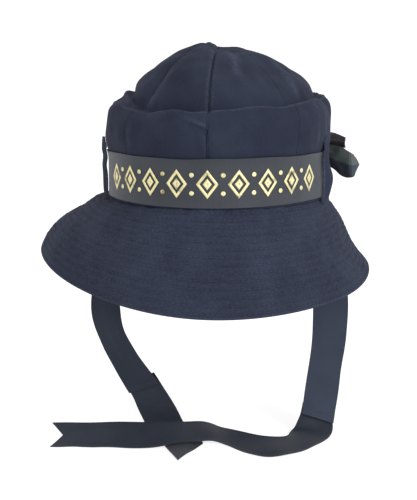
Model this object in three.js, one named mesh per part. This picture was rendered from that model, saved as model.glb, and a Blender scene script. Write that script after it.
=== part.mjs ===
// A sailor's soft cloth cap: a crown of eight gores with a tuck rolled round it, a stitched brim that
// turns down, a ribbon band tied in a bow, two carriers that hold the band, and two chin ties, each a
// tape with a ribbon sewn to its end.
// Millimetres, +Z up. The front faces -Y, and left and right are as seen from the front, so right is +X.
// The origin is the centre of the head opening, in the plane of the brim seam.
import * as THREE from "three";

// Driving sizes.
const HEAD_HALF_WIDTH = 75.5; // outer face of the crown at the brim seam, which the band draws in
const HEAD_HALF_LENGTH = 93.5;
const CROWN_CLOTH = 1.6; // cloth with its turned seams
const BRIM_CLOTH = 2.4; // two plies and an interlining, stitched through
const BRIM_ROLL_END = 0.36; // share of the way out where the roll by the seam ends
const RIBBON = 1; // thickness of the band, bow, tapes and tie ribbons
const GAP = 0.3; // clear space between pieces that touch
const CROWN_TOP = 103.2;
const CROWN_TIP_SHARE = 0.02; // the gores end just short of the axis, as a share of the head oval
const WALL_HEIGHT = 45; // lower wall of the crown, under the rolled tuck
const WALL_FLARE = 0.038; // how far that wall swells above the band, as a share of the head oval
const FLARE_START = 27;
const FLARE_END = 41;
const DOME_ROUNDNESS = 1.58; // 2 is a round dome and 1 a straight cone
const TUCK_ROLL = 6.5; // the tuck's outer shoulder lies this far below its crest
const DOME_CENTRE = 45; // height on the axis that the gores puff out from
const BAND_WIDTH = 30;
const BAND_BOTTOM = 0.8;
const BAND_RISE = 1.8; // how far the band rides up at the sides
const BAND_STAND_OFF = 0.5; // from the crown's wall to the band's inner face
const TIE_WIDTH = 25.4;
const FULL_TURN = 2 * Math.PI;
const DEGREE = Math.PI / 180;

// Facets.
const GORE_STEPS_ACROSS = 5;
const CROWN_STEPS_UP = 28;
const RING_STEPS = 72;
const BAND_STEPS_UP = 3;
const BRIM_STEPS_OUT = 6;
const RIBBON_STEPS_PER_ROW = 3;

// Colours as seen: navy gaberdine, black silk ribbon, navy tape, and black-navy tie ribbon.
const NAVY_CLOTH = { color: 0x2b3144, roughness: 0.95, metalness: 0 };
const BAND_SILK = { color: 0x33383c, roughness: 0.6, metalness: 0 };
const TIE_TAPE = { color: 0x2e3341, roughness: 0.85, metalness: 0 };
const TIE_RIBBON = { color: 0x22262f, roughness: 0.8, metalness: 0 };

// How the crown sits at eight directions, every 45 degrees from the front round by the right. crest and
// foot are radii as shares of the head oval, where the rolled tuck peaks and where the dome rises inside
// it; crestZ is the peak's height, and dip is how far below it the dome starts.
const CROWN_ROUND = [
  { at: "front", crest: 0.97, crestZ: 60, dip: 1.5, foot: 0.873 },
  { at: "front right", crest: 0.97, crestZ: 62.4, dip: 1, foot: 0.883 },
  { at: "right", crest: 0.965, crestZ: 68.8, dip: -2.2, foot: 0.875 },
  { at: "back right", crest: 0.96, crestZ: 67.5, dip: -1.5, foot: 0.865 },
  { at: "back", crest: 0.955, crestZ: 66, dip: 0, foot: 0.852 },
  { at: "back left", crest: 0.914, crestZ: 69, dip: -2, foot: 0.811 },
  { at: "left", crest: 0.975, crestZ: 65.6, dip: -7, foot: 0.752 },
  { at: "front left", crest: 0.93, crestZ: 60, dip: 0.6, foot: 0.811 },
];

// How the brim hangs at the same directions. reach and drop are how far its edge lies out from and below
// the brim seam, curl is how much it arches, ripple how far it waves out near the seam and in again, and
// roll how far it is puffed up close to the seam.
const BRIM_ROUND = [
  { at: "front", reach: 38.5, drop: 59.6, curl: 0.05, ripple: 0, roll: 0 },
  { at: "front right", reach: 35.4, drop: 55.8, curl: 0, ripple: 0.6, roll: 0 },
  { at: "right", reach: 32.5, drop: 48.5, curl: 0, ripple: 1.2, roll: 0 },
  { at: "back right", reach: 36, drop: 44, curl: 0.06, ripple: 0.4, roll: 0 },
  { at: "back", reach: 42, drop: 39, curl: 0.1, ripple: 0, roll: 0 },
  { at: "back left", reach: 47, drop: 29, curl: 0.22, ripple: 0, roll: 1.5 },
  { at: "left", reach: 52, drop: 35, curl: 0.24, ripple: -0.6, roll: 3 },
  { at: "front left", reach: 40.5, drop: 49.5, curl: 0.14, ripple: -0.3, roll: 0.6 },
];
const ROUND = CROWN_ROUND.map((row, i) => ({ ...row, ...BRIM_ROUND[i] }));

// The gores in the same order, each from one seam to the next, and how far each puffs out.
const GORES = [
  { name: "front_right", puff: -0.8 },
  { name: "right_front", puff: 0.6 },
  { name: "right_back", puff: 2 },
  { name: "back_right", puff: 1 },
  { name: "back_left", puff: 4 },
  { name: "left_back", puff: 4 },
  { name: "left_front", puff: 3.4 },
  { name: "front_left", puff: 5.4 },
];
const GORE_ANGLE = FULL_TURN / GORES.length;

// The two carriers. Each row is a height, how far the strip's front edge stands off the crown there, and
// how much further its back edge leans out. The strip starts on the crown above the band, and its foot is
// just over the brim.
const CARRIER_ANGLES = { left: -77.5 * DEGREE, right: 70 * DEGREE };
const CARRIER_WIDTH = 7;
const CARRIER_CLOTH = 1.5;
const CARRIER_FOOT = { standOff: 2, lean: 1 };
const CARRIER_PATHS = {
  left: [
    { z: 43, standOff: 0.4, lean: 0 },
    { z: 38, standOff: 0.5, lean: 0 },
    { z: 33.5, standOff: 1.9, lean: 0.4 },
    { z: 23, standOff: 2.9, lean: 1.2 },
    { z: 14, standOff: 2, lean: 1.8 },
    { z: 5, standOff: 2, lean: 1.8 },
  ],
  right: [
    { z: 43, standOff: 0.4, lean: 0.4 },
    { z: 38, standOff: 0.6, lean: 1.5 },
    { z: 33.5, standOff: 2, lean: 3 },
    { z: 24, standOff: 2.2, lean: 4.4 },
    { z: 15, standOff: 2.4, lean: 5.4 },
    { z: 6, standOff: 2.4, lean: 3.4 },
  ],
};

// The bow on the right, behind the ear. Each ribbon is a row of stations: the middle of the ribbon at
// x, y, z, the compass turn and upward tip in degrees of the line across it, its width there, and how
// far its middle line is creased out from its edges.
const BOW_KNOT = { angle: 112 * DEGREE, z: 26, length: 12, height: 18, depth: 8 };
const BOW_RIBBONS = {
  bow_loop_front: [
    { x: 76.3, y: 28.9, z: 27.5, turn: 150, tip: 80, width: 13, crease: 2 },
    { x: 81.8, y: 23.4, z: 25.2, turn: 150, tip: 80, width: 17.5, crease: 2.4 },
    { x: 88.6, y: 18, z: 22.4, turn: 150, tip: 82, width: 21.8, crease: 2.2 },
    { x: 94.4, y: 14.6, z: 20.4, turn: 150, tip: 84, width: 18, crease: 2.6 },
    { x: 97, y: 17, z: 20.2, turn: 150, tip: 86, width: 14, crease: 3.6 },
    { x: 94.8, y: 21.6, z: 20.6, turn: 150, tip: 84, width: 16.5, crease: 2.2 },
    { x: 88.4, y: 26.6, z: 23, turn: 150, tip: 82, width: 17, crease: 1.6 },
    { x: 80, y: 30, z: 26.6, turn: 150, tip: 80, width: 13, crease: 1.6 },
  ],
  bow_loop_back: [
    { x: 71.3, y: 43.6, z: 26, turn: 120, tip: 84, width: 13, crease: 2 },
    { x: 71.4, y: 52, z: 24, turn: 120, tip: 82, width: 19, crease: 2 },
    { x: 69, y: 62, z: 21, turn: 120, tip: 80, width: 23, crease: 1.6 },
    { x: 68.6, y: 70, z: 18.5, turn: 120, tip: 78, width: 23, crease: 1 },
    { x: 73.4, y: 72, z: 18, turn: 120, tip: 78, width: 22, crease: 0.6 },
    { x: 77, y: 65, z: 19.6, turn: 120, tip: 80, width: 22, crease: 1 },
    { x: 78, y: 55, z: 23, turn: 120, tip: 82, width: 17, crease: 1.6 },
    { x: 75.2, y: 45, z: 26, turn: 120, tip: 84, width: 13, crease: 1.6 },
  ],
  bow_tail_upper: [
    { x: 77.6, y: 30.8, z: 38.8, turn: 140, tip: 80, width: 9.2, crease: 0.9 },
    { x: 82.6, y: 28, z: 38.4, turn: 132, tip: 78, width: 9.4, crease: 0.9 },
    { x: 87.2, y: 24.2, z: 37.3, turn: 126, tip: 76, width: 8.8, crease: 0.9 },
    { x: 90.4, y: 19.6, z: 36.2, turn: 120, tip: 74, width: 7.9, crease: 0.9 },
  ],
  bow_tail_lower: [
    { x: 76, y: 37.4, z: 16.2, turn: 108, tip: 0, width: 11, crease: 1 },
    { x: 75.4, y: 44.5, z: 4, turn: 110, tip: 2, width: 18, crease: 0.6 },
    { x: 76, y: 55, z: -9, turn: 116, tip: 2, width: 24, crease: 0 },
    { x: 78.6, y: 64.4, z: -20, turn: 120, tip: 0, width: 26, crease: 0 },
  ],
};

// The chin ties: a tape sewn inside the crown at each side, and a ribbon sewn behind the tape's hem.
// The ribbons' ends lie on a flat surface 158 mm below the brim seam, the right one across the left.
const CHIN_RIBBONS = {
  chin_tape_right: [
    { x: 70.9, y: -13, z: 20, turn: 83, tip: 0 },
    { x: 70.9, y: -13, z: -5, turn: 83, tip: 0 },
    { x: 74.5, y: -14, z: -20, turn: 66, tip: 0 },
    { x: 79, y: -17, z: -48, turn: 36, tip: 0 },
    { x: 80.5, y: -21, z: -74, turn: 18, tip: 4 },
    { x: 79.6, y: -27, z: -97, turn: 20, tip: 4 },
    { x: 76, y: -36, z: -121.5, turn: 24, tip: 0 },
    { x: 72, y: -47, z: -148.8, turn: 22, tip: -22 },
  ],
  chin_ribbon_right: [
    { x: 72.8, y: -42.1, z: -141.4, turn: 23, tip: -18 },
    { x: 71, y: -44.4, z: -150.8, turn: 18, tip: -14 },
    { x: 68.4, y: -51.4, z: -156, turn: -10, tip: -4 },
    { x: 62.4, y: -62, z: -157.3, turn: -44, tip: -1 },
    { x: 53, y: -76.6, z: -156.6, turn: -76, tip: -3 },
    { x: 38, y: -84, z: -155.2, turn: -84, tip: -10 },
    { x: 24, y: -78.5, z: -155.2, turn: -83, tip: -10 },
    { x: 9, y: -66, z: -156, turn: -82, tip: -5 },
    { x: -3, y: -64, z: -153.8, turn: -81, tip: -6 },
    { x: -22, y: -73, z: -151.8, turn: -80, tip: -13 },
    { x: -48, y: -76.5, z: -152.8, turn: -79, tip: -20 },
    { x: -76, y: -76.5, z: -153.8, turn: -79, tip: -17 },
    { x: -99, y: -77.5, z: -153.8, turn: -80, tip: -17 },
  ],
  chin_tape_left: [
    { x: -70.9, y: -13, z: 20, turn: -83, tip: 0 },
    { x: -70.9, y: -13, z: -5, turn: -83, tip: 0 },
    { x: -74.4, y: -14, z: -20, turn: -66, tip: 0 },
    { x: -78, y: -17, z: -48, turn: -42, tip: -4 },
    { x: -79, y: -20, z: -74, turn: -27, tip: -8 },
    { x: -77, y: -21, z: -93, turn: -22, tip: -4 },
    { x: -70, y: -22, z: -109, turn: -20, tip: 4 },
    { x: -60.4, y: -23, z: -124.5, turn: -22, tip: 16 },
    { x: -51.5, y: -24, z: -138, turn: -18, tip: 24 },
  ],
  chin_ribbon_left: [
    { x: -55.4, y: -21.7, z: -130.5, turn: -18, tip: 22 },
    { x: -48.2, y: -22.8, z: -142, turn: -12, tip: 24 },
    { x: -40.5, y: -30, z: -152.3, turn: 6, tip: 14 },
    { x: -33.5, y: -44, z: -157.2, turn: 22, tip: 2 },
    { x: -25, y: -62, z: -157.4, turn: 28, tip: 0 },
    { x: -15.5, y: -82, z: -157.4, turn: 29, tip: 0 },
  ],
};
// How the ribbon ends are cut: a slanted end runs on along one edge, a swallowtail along both.
const TAIL_ENDS = {
  chin_ribbon_right: { leftEdge: 7, middle: -1, rightEdge: 7 },
  chin_ribbon_left: { leftEdge: 21, middle: 10, rightEdge: 0 },
  bow_tail_upper: { leftEdge: 0, middle: 0.6, rightEdge: 0.9 },
  bow_tail_lower: { leftEdge: 0, middle: 3, rightEdge: 6 },
};

// A smooth curve through four values in a row, at a share of the way from the second to the third.
function smoothStep(before, from, to, after, share) {
  const bend = 2 * before - 5 * from + 4 * to - after;
  const twist = 3 * (from - to) + after - before;
  return from + 0.5 * share * (to - before + share * (bend + share * twist));
}

// A column of the round table at an angle from the front, smooth all the way round.
function around(column, angle) {
  const place = (((angle / FULL_TURN) % 1) + 1) * ROUND.length;
  const row = Math.floor(place);
  const value = (offset) => ROUND[(row + offset + ROUND.length) % ROUND.length][column];
  return smoothStep(value(-1), value(0), value(1), value(2), place - row);
}

// The point on the head oval, scaled by a share and grown outwards, at an angle and a height.
function ovalPoint(angle, share, grow, z) {
  const outward = new THREE.Vector2(
    Math.sin(angle) / HEAD_HALF_WIDTH,
    -Math.cos(angle) / HEAD_HALF_LENGTH,
  ).normalize();
  return new THREE.Vector3(
    HEAD_HALF_WIDTH * share * Math.sin(angle) + grow * outward.x,
    -HEAD_HALF_LENGTH * share * Math.cos(angle) + grow * outward.y,
    z,
  );
}

// The radius of the crown's lower wall at a height, as a share of the head oval.
function wallShare(z) {
  return 1 + WALL_FLARE * THREE.MathUtils.smoothstep(z, FLARE_START, FLARE_END);
}

// The crown's profile at an angle: up the wall, over the rolled tuck, into the valley, up the dome.
function crownProfile(angle) {
  const crest = around("crest", angle);
  const crestZ = around("crestZ", angle);
  const foot = around("foot", angle);
  const valley = crestZ - around("dip", angle);
  const domeRise = CROWN_TOP - valley;
  const wall = [0, 15, 28, 36, WALL_HEIGHT].map((z) => new THREE.Vector2(wallShare(z), z));
  const tuck = [
    new THREE.Vector2((2 + crest) / 3 + WALL_FLARE, crestZ - TUCK_ROLL),
    new THREE.Vector2(crest, crestZ),
    new THREE.Vector2(crest * 0.6 + foot * 0.4, (crestZ + valley) / 2),
    new THREE.Vector2(crest * 0.4 + foot * 0.6, valley),
  ];
  const dome = [0, 18, 36, 54, 72].map((degrees) => {
    const inward = Math.pow(Math.cos(degrees * DEGREE), 2 / DOME_ROUNDNESS);
    const upward = Math.pow(Math.sin(degrees * DEGREE), 2 / DOME_ROUNDNESS);
    return new THREE.Vector2(foot * inward, valley + domeRise * upward);
  });
  const tip = new THREE.Vector2(CROWN_TIP_SHARE, CROWN_TOP);
  return new THREE.SplineCurve([...wall, ...tuck, ...dome, tip]);
}

// How much of a gore's puff shows at a share of the way up the profile: none on the wall and at the tip.
function puffAlong(up) {
  return THREE.MathUtils.smoothstep(up, 0.5, 0.85) * (1 - THREE.MathUtils.smoothstep(up, 0.93, 1));
}

function crownPoint(gore, angle, up) {
  const { x: share, y: z } = crownProfile(angle).getPoint(up);
  const point = ovalPoint(angle, share, 0, z);
  const outward = point.clone().sub(new THREE.Vector3(0, 0, DOME_CENTRE)).normalize();
  const swell = Math.pow(Math.abs(Math.sin((Math.PI * angle) / GORE_ANGLE)), 0.7);
  return point.addScaledVector(outward, gore.puff * swell * puffAlong(up));
}

// A grid of points moved along its own normals.
function offsetGrid(grid, distance, wrap = false) {
  const rows = grid.length;
  const neighbour = (i) => (wrap ? (i + rows) % rows : THREE.MathUtils.clamp(i, 0, rows - 1));
  return grid.map((row, i) =>
    row.map((point, j) => {
      const alongRows = grid[neighbour(i + 1)][j].clone().sub(grid[neighbour(i - 1)][j]);
      const alongRow = row[Math.min(j + 1, row.length - 1)].clone().sub(row[Math.max(j - 1, 0)]);
      return point.clone().addScaledVector(alongRows.cross(alongRow).normalize(), distance);
    }),
  );
}

// A closed body between two grids of points, joined along their edges. wrap closes a ring.
function bodyBetween(front, back, wrap = false) {
  const rows = front.length;
  const columns = front[0].length;
  const last = columns - 1;
  const points = [...front.flat(), ...back.flat()];
  const index = [];
  const at = (side, i, j) => side * rows * columns + (i % rows) * columns + j;
  const quad = (a, b, c, d) => index.push(a, b, c, a, c, d);
  for (let i = 0; i < (wrap ? rows : rows - 1); i++) {
    for (let j = 0; j < last; j++) {
      quad(at(0, i, j), at(0, i + 1, j), at(0, i + 1, j + 1), at(0, i, j + 1));
      quad(at(1, i, j), at(1, i, j + 1), at(1, i + 1, j + 1), at(1, i + 1, j));
    }
    quad(at(0, i, 0), at(1, i, 0), at(1, i + 1, 0), at(0, i + 1, 0));
    quad(at(0, i, last), at(0, i + 1, last), at(1, i + 1, last), at(1, i, last));
  }
  for (let j = 0; !wrap && j < last; j++) {
    quad(at(0, 0, j), at(0, 0, j + 1), at(1, 0, j + 1), at(1, 0, j));
    quad(at(0, rows - 1, j), at(1, rows - 1, j), at(1, rows - 1, j + 1), at(0, rows - 1, j + 1));
  }
  return new THREE.BufferGeometry().setFromPoints(points).setIndex(index);
}

function piece(name, geometry, finish) {
  geometry.computeVertexNormals();
  const mesh = new THREE.Mesh(geometry, new THREE.MeshStandardMaterial(finish));
  mesh.name = name;
  return mesh;
}

function range(count) {
  return Array.from({ length: count + 1 }, (_, i) => i / count);
}

// One gore: a curved wall from the brim seam to the tip, held a gap clear of each seam.
function crownGore(gore, index) {
  const outer = range(GORE_STEPS_ACROSS).map((across) =>
    range(CROWN_STEPS_UP).map((up) => {
      const middle = (index + 0.5) * GORE_ANGLE;
      const { x: share } = crownProfile(middle).getPoint(up);
      const seamClearance = GAP / ovalPoint(middle, share, 0, 0).length();
      const halfAngle = GORE_ANGLE / 2 - seamClearance;
      return crownPoint(gore, middle + (2 * across - 1) * halfAngle, up);
    }),
  );
  return piece("crown_gore_" + gore.name, bodyBetween(outer, offsetGrid(outer, -CROWN_CLOTH)), NAVY_CLOTH);
}

// The brim: a collar under the crown's wall, then a cone that arches out and down to its edge.
function brimPoint(angle, out) {
  const arch = 2 * around("curl", angle) * out * (1 - out);
  const wave = around("ripple", angle) * Math.sin(FULL_TURN * out);
  const swell = out < BRIM_ROLL_END ? (1 - Math.cos((FULL_TURN * out) / BRIM_ROLL_END)) / 2 : 0;
  const across = around("reach", angle) * (out + arch) + wave;
  const down = around("drop", angle) * (out - arch) - wave - around("roll", angle) * swell;
  return ovalPoint(angle, 1, across, -GAP - down);
}

// The height of the brim's top close to its seam, a little way out.
function brimTopNearSeam(angle, grow) {
  const plain = around("reach", angle) * (1 + 2 * around("curl", angle));
  const slope = plain + FULL_TURN * around("ripple", angle);
  return brimPoint(angle, grow / slope).z;
}

function brim() {
  const top = range(RING_STEPS)
    .slice(0, -1)
    .map((part) => {
      const angle = part * FULL_TURN;
      const collar = ovalPoint(angle, 1, -CROWN_CLOTH, -GAP);
      return [collar, ...range(BRIM_STEPS_OUT).map((out) => brimPoint(angle, out))];
    });
  return piece("brim", bodyBetween(offsetGrid(top, BRIM_CLOTH, true), top, true), NAVY_CLOTH);
}

// The ribbon band, a ring that lies on the crown's lower wall.
function bandRise(angle) {
  return BAND_RISE * Math.sin(angle) ** 2;
}

function band() {
  const face = (standOff) =>
    range(RING_STEPS)
      .slice(0, -1)
      .map((part) =>
        range(BAND_STEPS_UP).map((up) => {
          const angle = part * FULL_TURN;
          const z = BAND_BOTTOM + up * BAND_WIDTH + bandRise(angle);
          return ovalPoint(angle, wallShare(z), standOff, z);
        }),
      );
  const geometry = bodyBetween(face(BAND_STAND_OFF + RIBBON), face(BAND_STAND_OFF), true);
  return piece("band_ribbon", geometry, BAND_SILK);
}

// A carrier: a narrow cloth strip from the crown above the band, over the band, to the brim seam.
function carrier(side) {
  const angle = CARRIER_ANGLES[side];
  const footZ = brimTopNearSeam(angle, CARRIER_FOOT.standOff) + 3 * GAP;
  const rows = [...CARRIER_PATHS[side], { z: footZ, ...CARRIER_FOOT }];
  const face = (lift) =>
    [-0.5, 0.5].map((across) => {
      const turned = angle + (across * CARRIER_WIDTH) / HEAD_HALF_LENGTH;
      const toBack = 0.5 + across * Math.sign(angle);
      return range((rows.length - 1) * 2).map((along) => {
        const place = along * (rows.length - 1);
        const z = between(rows, "z", place);
        const standOff = between(rows, "standOff", place) + toBack * between(rows, "lean", place);
        return ovalPoint(turned, wallShare(z), standOff + lift, z);
      });
    });
  return piece("band_carrier_" + side, bodyBetween(face(0), face(CARRIER_CLOTH)), NAVY_CLOTH);
}

// The value of a column at a place between the rows of a table, on a smooth curve through them.
function between(rows, key, place, plain = 0) {
  const row = Math.min(Math.floor(place), rows.length - 2);
  const value = (i) => rows[THREE.MathUtils.clamp(i, 0, rows.length - 1)][key] ?? plain;
  return smoothStep(value(row - 1), value(row), value(row + 1), value(row + 2), place - row);
}

// A ribbon through a table of stations: two edges and a middle line, with its ends cut as given.
function ribbon(name, stations, finish) {
  const column = (key, place, plain) => between(stations, key, place, plain);
  const end = TAIL_ENDS[name] ?? { leftEdge: 0, middle: 0, rightEdge: 0 };
  const cut = [end.leftEdge, end.middle, end.rightEdge];
  const steps = (stations.length - 1) * RIBBON_STEPS_PER_ROW;
  const middle = range(steps).map((part) => {
    const place = part * (stations.length - 1);
    return new THREE.Vector3(column("x", place), column("y", place), column("z", place));
  });
  const along = (i) => middle[Math.min(i + 1, steps)].clone().sub(middle[Math.max(i - 1, 0)]).normalize();
  const grid = [-0.5, 0, 0.5].map((side, k) =>
    middle.map((point, i) => {
      const place = i / RIBBON_STEPS_PER_ROW;
      const turn = column("turn", place) * DEGREE;
      const tip = column("tip", place) * DEGREE;
      const across = new THREE.Vector3(
        Math.cos(tip) * Math.cos(turn),
        Math.cos(tip) * Math.sin(turn),
        Math.sin(tip),
      );
      const spot = point.clone().addScaledVector(across, side * column("width", place, TIE_WIDTH));
      if (side === 0) {
        spot.addScaledVector(along(i).cross(across).normalize(), column("crease", place));
      }
      return i === steps ? spot.addScaledVector(along(i), cut[k]) : spot;
    }),
  );
  return piece(name, bodyBetween(offsetGrid(grid, RIBBON / 2), offsetGrid(grid, -RIBBON / 2)), finish);
}

// The bow's knot: a short turn of ribbon with rounded ends, flat against the band.
function bowKnot() {
  const { angle, z, length, height, depth } = BOW_KNOT;
  const outline = new THREE.Shape();
  const corner = depth / 3;
  outline.moveTo(-length / 2 + corner, -depth / 2);
  outline.lineTo(length / 2 - corner, -depth / 2);
  outline.quadraticCurveTo(length / 2, -depth / 2, length / 2, 0);
  outline.quadraticCurveTo(length / 2, depth / 2, length / 2 - corner, depth / 2);
  outline.lineTo(-length / 2 + corner, depth / 2);
  outline.quadraticCurveTo(-length / 2, depth / 2, -length / 2, 0);
  outline.quadraticCurveTo(-length / 2, -depth / 2, -length / 2 + corner, -depth / 2);
  const turn = { depth: height, bevelEnabled: false, curveSegments: 4 };
  const geometry = new THREE.ExtrudeGeometry(outline, turn);
  geometry.translate(0, 0, -height / 2);
  const mesh = piece("bow_knot", geometry, BAND_SILK);
  const bandShare = wallShare(BAND_BOTTOM + BAND_WIDTH + bandRise(angle));
  const seat = ovalPoint(angle, bandShare, 0, z);
  mesh.position.copy(ovalPoint(angle, bandShare, BAND_STAND_OFF + RIBBON + GAP + depth / 2, z));
  mesh.rotation.z = Math.atan2(mesh.position.y - seat.y, mesh.position.x - seat.x) + Math.PI / 2;
  return mesh;
}

const crown = new THREE.Group();
crown.add(...GORES.map(crownGore));

const bandAndBow = new THREE.Group();
bandAndBow.add(band(), carrier("left"), carrier("right"), bowKnot());
for (const [name, stations] of Object.entries(BOW_RIBBONS)) {
  bandAndBow.add(ribbon(name, stations, BAND_SILK));
}

const chinTies = new THREE.Group();
for (const [name, stations] of Object.entries(CHIN_RIBBONS)) {
  chinTies.add(ribbon(name, stations, name.includes("tape") ? TIE_TAPE : TIE_RIBBON));
}

const cap = new THREE.Group();
cap.add(crown, brim(), bandAndBow, chinTies);

export default cap;
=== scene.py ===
import bpy
import numpy as np
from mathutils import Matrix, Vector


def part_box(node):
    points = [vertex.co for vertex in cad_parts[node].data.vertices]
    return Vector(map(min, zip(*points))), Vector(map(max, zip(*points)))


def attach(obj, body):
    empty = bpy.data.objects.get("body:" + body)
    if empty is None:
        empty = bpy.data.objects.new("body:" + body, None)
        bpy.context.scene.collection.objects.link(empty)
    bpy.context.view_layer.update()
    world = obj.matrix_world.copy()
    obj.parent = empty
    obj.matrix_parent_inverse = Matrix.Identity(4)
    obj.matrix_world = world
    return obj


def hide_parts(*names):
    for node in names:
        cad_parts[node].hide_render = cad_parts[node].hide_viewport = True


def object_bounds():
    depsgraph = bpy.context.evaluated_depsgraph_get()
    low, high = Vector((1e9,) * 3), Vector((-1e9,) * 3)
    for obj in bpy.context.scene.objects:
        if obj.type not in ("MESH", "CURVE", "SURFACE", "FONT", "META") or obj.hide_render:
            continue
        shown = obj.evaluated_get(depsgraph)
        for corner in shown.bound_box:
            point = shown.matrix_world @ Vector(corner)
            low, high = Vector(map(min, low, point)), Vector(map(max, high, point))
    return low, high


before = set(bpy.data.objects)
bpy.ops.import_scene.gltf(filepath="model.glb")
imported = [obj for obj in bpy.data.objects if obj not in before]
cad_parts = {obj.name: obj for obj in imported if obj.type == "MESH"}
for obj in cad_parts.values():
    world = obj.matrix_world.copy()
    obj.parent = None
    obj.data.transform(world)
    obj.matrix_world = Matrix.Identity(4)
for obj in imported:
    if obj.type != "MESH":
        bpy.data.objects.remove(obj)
cad_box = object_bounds()

# The view: the cap's front from a little above its band and a little from the right, 0.65 m away.
# The camera is turned so that the cap stands just right of the middle, as a product picture frames it.
IMAGE_HEIGHT = 500
FOCAL_PIXELS = 912
SENSOR = 36.0
CAMERA_PLACE = (0.0453, -0.6484, 0.067)
CAMERA_TIP_DOWN = np.radians(9.4)
CAMERA_TURN_LEFT = np.radians(4.6)

lens = bpy.data.cameras.new("camera")
lens.sensor_fit = "VERTICAL"
lens.sensor_height = SENSOR
lens.lens = FOCAL_PIXELS / IMAGE_HEIGHT * SENSOR
camera = bpy.data.objects.new("camera", lens)
camera.location = CAMERA_PLACE
camera.rotation_euler = (np.pi / 2 - CAMERA_TIP_DOWN, 0, CAMERA_TURN_LEFT)
bpy.context.collection.objects.link(camera)
bpy.context.scene.camera = camera

# The floor: a wide white light table at the height where the tie ends lie, lit through from below.
# Soft light comes from the whole white room, a large key light in front on the right and a weaker fill.
FLOOR_RADIUS = 12.0
FLOOR_SIDES = 96
TABLE_WHITE = "#9f9f9f"
TABLE_GLOW = 0.78
ROOM_LIGHT = 1.08
LIGHTS = {
    "key": {"place": (1.1, -1.2, 0.5), "size": 0.9, "watts": 18},
    "fill": {"place": (-1.0, -1.3, 0.3), "size": 1.2, "watts": 2},
}


def linear(hex_colour):
    """An sRGB hex colour as linear RGBA: each channel follows the sRGB curve."""
    channels = np.array([int(hex_colour[i : i + 2], 16) / 255 for i in (1, 3, 5)])
    bright = ((channels + 0.055) / 1.055) ** 2.4
    return (*np.where(channels <= 0.04045, channels / 12.92, bright), 1.0)


def add_node(material, kind, settings=None, inputs=None):
    """Adds one node. Settings are its properties; inputs are plain values or the sockets that feed it."""
    tree = material.node_tree
    node = tree.nodes.new(kind)
    for name, value in (settings or {}).items():
        setattr(node, name, value)
    for name, value in (inputs or {}).items():
        if isinstance(value, bpy.types.NodeSocket):
            tree.links.new(value, node.inputs[name])
        else:
            node.inputs[name].default_value = value
    return node


def new_material(name, **sockets):
    """A Principled material with the given values on its own sockets, and its shader node."""
    material = bpy.data.materials.new(name)
    material.use_nodes = True
    shader = material.node_tree.nodes["Principled BSDF"]
    for socket, value in sockets.items():
        shader.inputs[socket.replace("_", " ")].default_value = value
    return material, shader


# Opal acrylic: an even white glow that leaves only a trace of shadow under what lies on it.
opal, opal_shader = new_material("opal_acrylic", Roughness=0.9, Emission_Strength=TABLE_GLOW)
opal_shader.inputs["Base Color"].default_value = linear(TABLE_WHITE)
opal_shader.inputs["Emission Color"].default_value = (1, 1, 1, 1)

floor_angle = np.linspace(0, 2 * np.pi, FLOOR_SIDES, endpoint=False)
floor_rim = np.stack([np.cos(floor_angle), np.sin(floor_angle), 0 * floor_angle], -1) * FLOOR_RADIUS
floor_rim[:, 2] = cad_box[0][2]
floor_mesh = bpy.data.meshes.new("floor")
floor_mesh.from_pydata(floor_rim.tolist(), [], [list(range(FLOOR_SIDES))])
floor_mesh.materials.append(opal)
floor = bpy.data.objects.new("floor", floor_mesh)
bpy.context.collection.objects.link(floor)

world = bpy.data.worlds.new("white_room")
world.use_nodes = True
world.node_tree.nodes["Background"].inputs["Color"].default_value = (1, 1, 1, 1)
world.node_tree.nodes["Background"].inputs["Strength"].default_value = ROOM_LIGHT
bpy.context.scene.world = world
bpy.context.scene.view_settings.view_transform = "Standard"

for name, light in LIGHTS.items():
    lamp = bpy.data.lights.new(name, "AREA")
    lamp.energy = light["watts"]
    lamp.size = light["size"]
    lamp_object = bpy.data.objects.new(name, lamp)
    place = np.array(light["place"])
    reach = np.linalg.norm(place)
    lamp_object.location = light["place"]
    lamp_object.rotation_euler = (np.arccos(place[2] / reach), 0, np.arctan2(place[0], -place[1]))
    bpy.context.collection.objects.link(lamp_object)

# The crown: eight gores of navy wool gaberdine, seamed together from the brim to the tip.
# Each rises up the wall, rolls over the soft tuck into a valley, and climbs the dome, creased by wear.
# Sizes from here on are in millimetres, except where a name is multiplied by MM.
MM = 0.001
HEAD_HALF_WIDTH = 75.5
HEAD_HALF_LENGTH = 93.5
CROWN_CLOTH = 1.6
CROWN_TOP = 103.2
CROWN_TIP_SHARE = 0.0006
WALL_HEIGHTS = (0, 15, 28, 36, 45)
WALL_FLARE = 0.038
FLARE_START = 27
FLARE_END = 41
# The tuck's crest is the seventh of fifteen stations up a gore.
TUCK_ROLL = 6.5
CREST_UP = 6 / 14
DOME_ROUNDNESS = 1.58
DOME_CENTRE = 45
DOME_STEPS = np.radians((0, 18, 36, 54, 72))
PUFF_RISE = (0.5, 0.85)
PUFF_FALL = (0.93, 1)
SHARP_EDGE = np.radians(50)
BAND_TOP = 31
FOLDS_START = 9
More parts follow.
